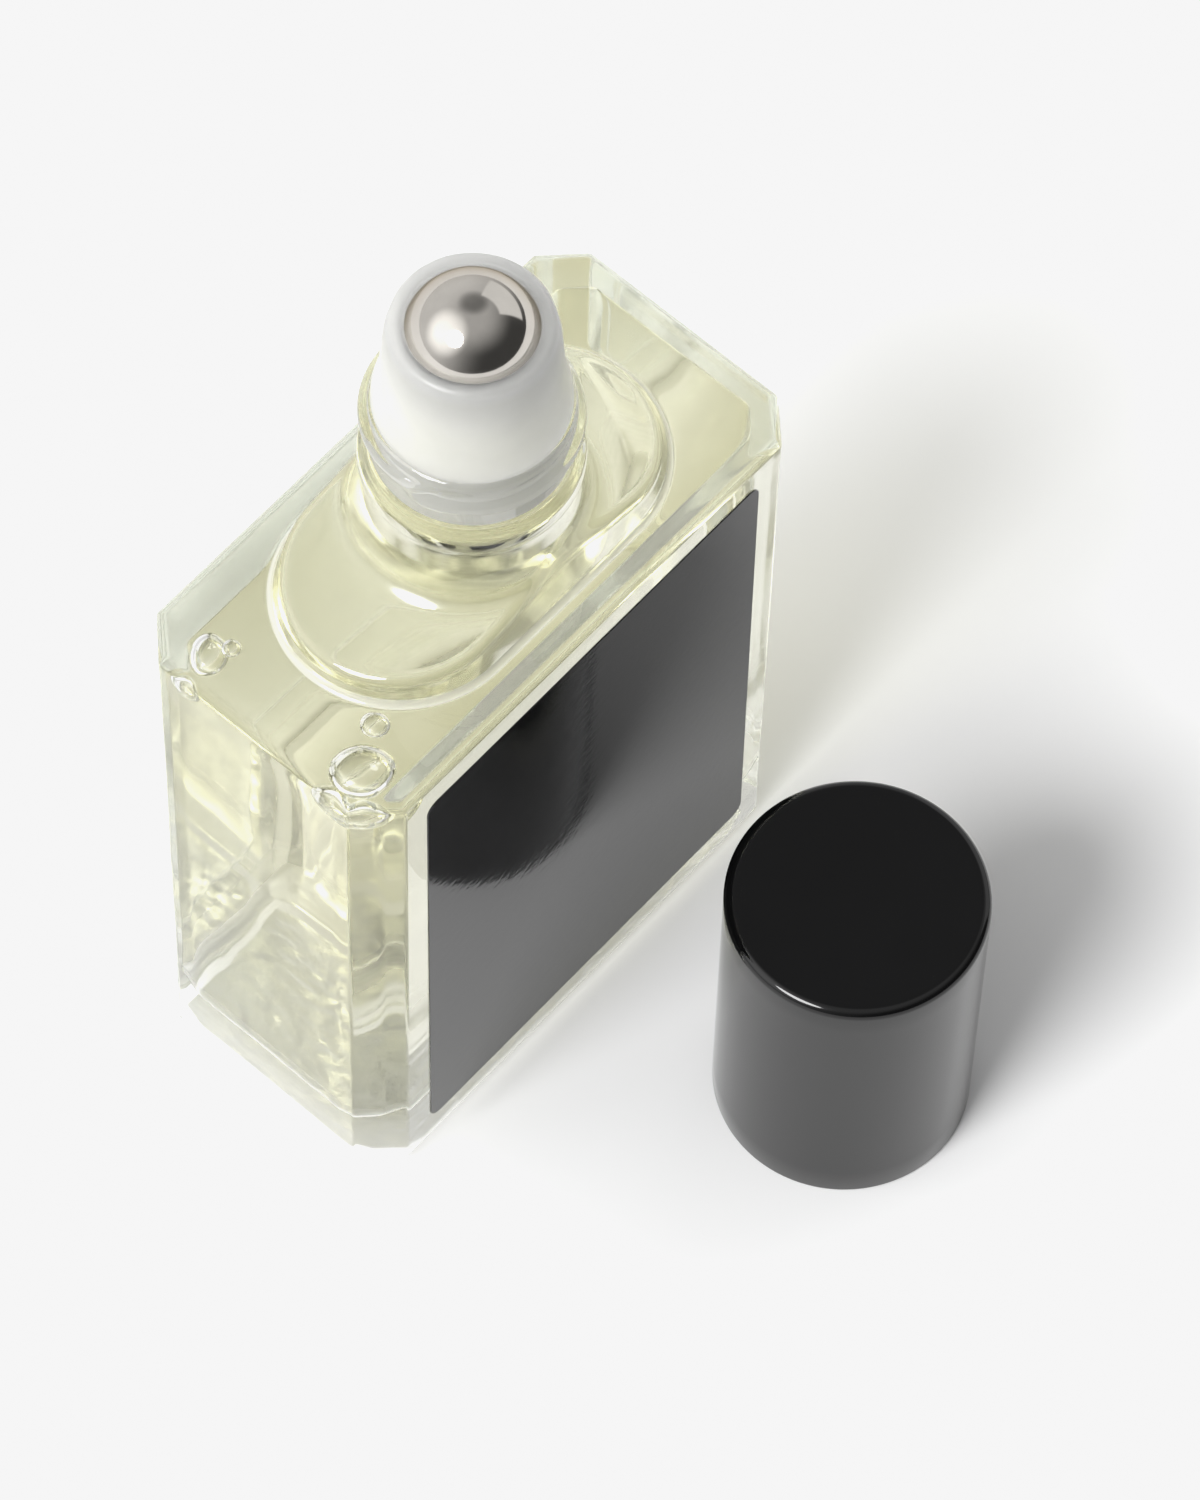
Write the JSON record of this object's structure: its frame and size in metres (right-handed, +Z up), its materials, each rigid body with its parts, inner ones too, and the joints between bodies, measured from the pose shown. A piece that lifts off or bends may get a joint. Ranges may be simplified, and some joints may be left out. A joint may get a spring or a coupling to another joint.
{
  "type": "perfume oil bottle",
  "caption": "Clear glass perfume oil bottle, octagonal in plan, with a roll-on ball fitment, a raised racetrack shoulder, a black front label and a plain black cap standing beside it.",
  "frame": {"origin": "centre of the bottle's flat underside, on the surface it stands on", "axes": "+Z up along the neck, X along the long side, -Y out of the label's face"},
  "size_m": [0.042, 0.0486, 0.0799],
  "materials": {
    "clear_glass": "clear, fire-polished, faintly rippled",
    "oil": "clear pale yellow-green liquid",
    "label": "gloss black film",
    "milky_plastic": "translucent natural polypropylene, satin",
    "steel_ball": "polished steel",
    "cap_gloss": "gloss black",
    "cap_liner_plastic": "dull black moulding"
  },
  "bodies": {
    "bottle": {"glass_bottle": "clear_glass", "perfume_oil": "oil", "front_label": "label", "roller_housing": "milky_plastic"},
    "ball": {"roller_ball": "steel_ball"},
    "cap": {"cap_shell": "cap_gloss", "cap_liner": "cap_liner_plastic"}
  },
  "joints": [
    {"name": "ball_roll", "type": "hinge", "parent": "bottle", "child": "ball", "pos_m": [0, 0, 0.0754], "axis": [1, 0, 0], "continuous": true},
    {"name": "cap_lift", "type": "slide", "parent": "bottle", "child": "cap", "axis": [0, 0, 1], "range_m": [0, 0.085]}
  ]
}
